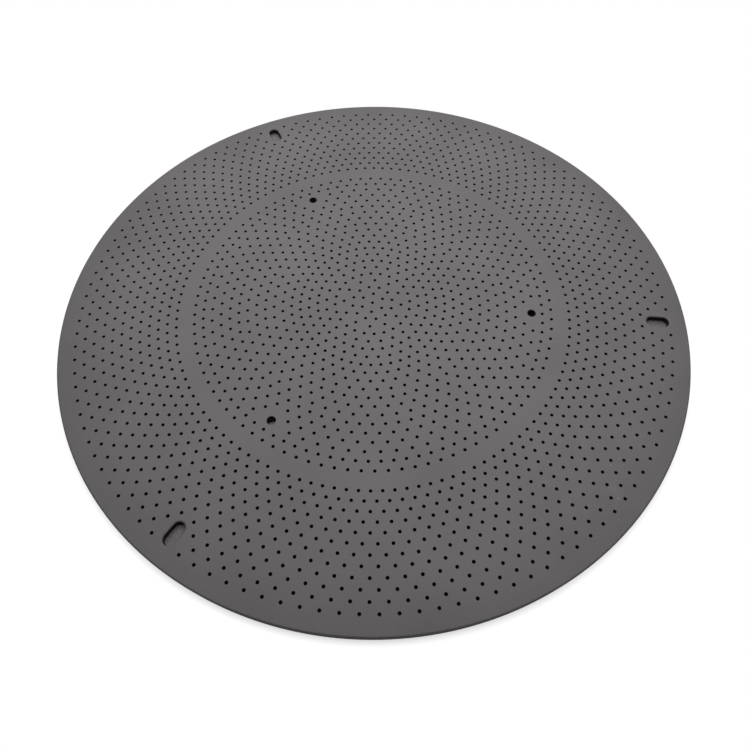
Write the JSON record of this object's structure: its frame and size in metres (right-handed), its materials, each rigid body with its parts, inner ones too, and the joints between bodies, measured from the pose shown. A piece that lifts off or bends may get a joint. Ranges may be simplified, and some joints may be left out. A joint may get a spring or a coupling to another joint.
{
  "type": "gas distribution showerhead",
  "caption": "Round coated graphite plate drilled all over with fine gas holes on evenly pitched rings, with blind locating slots near the rim and a circle of pin holes.",
  "frame": {"origin": "centre of the plate's underside", "axes": "+Z square to the plate, out of its slotted face; +X out through the middle of one slot"},
  "size_m": [0.3492, 0.3492, 0.0063],
  "materials": {
    "coated_graphite": "matte silicon carbide coating on graphite"
  },
  "bodies": {
    "root": {"showerhead_plate": "coated_graphite"}
  },
  "joints": []
}
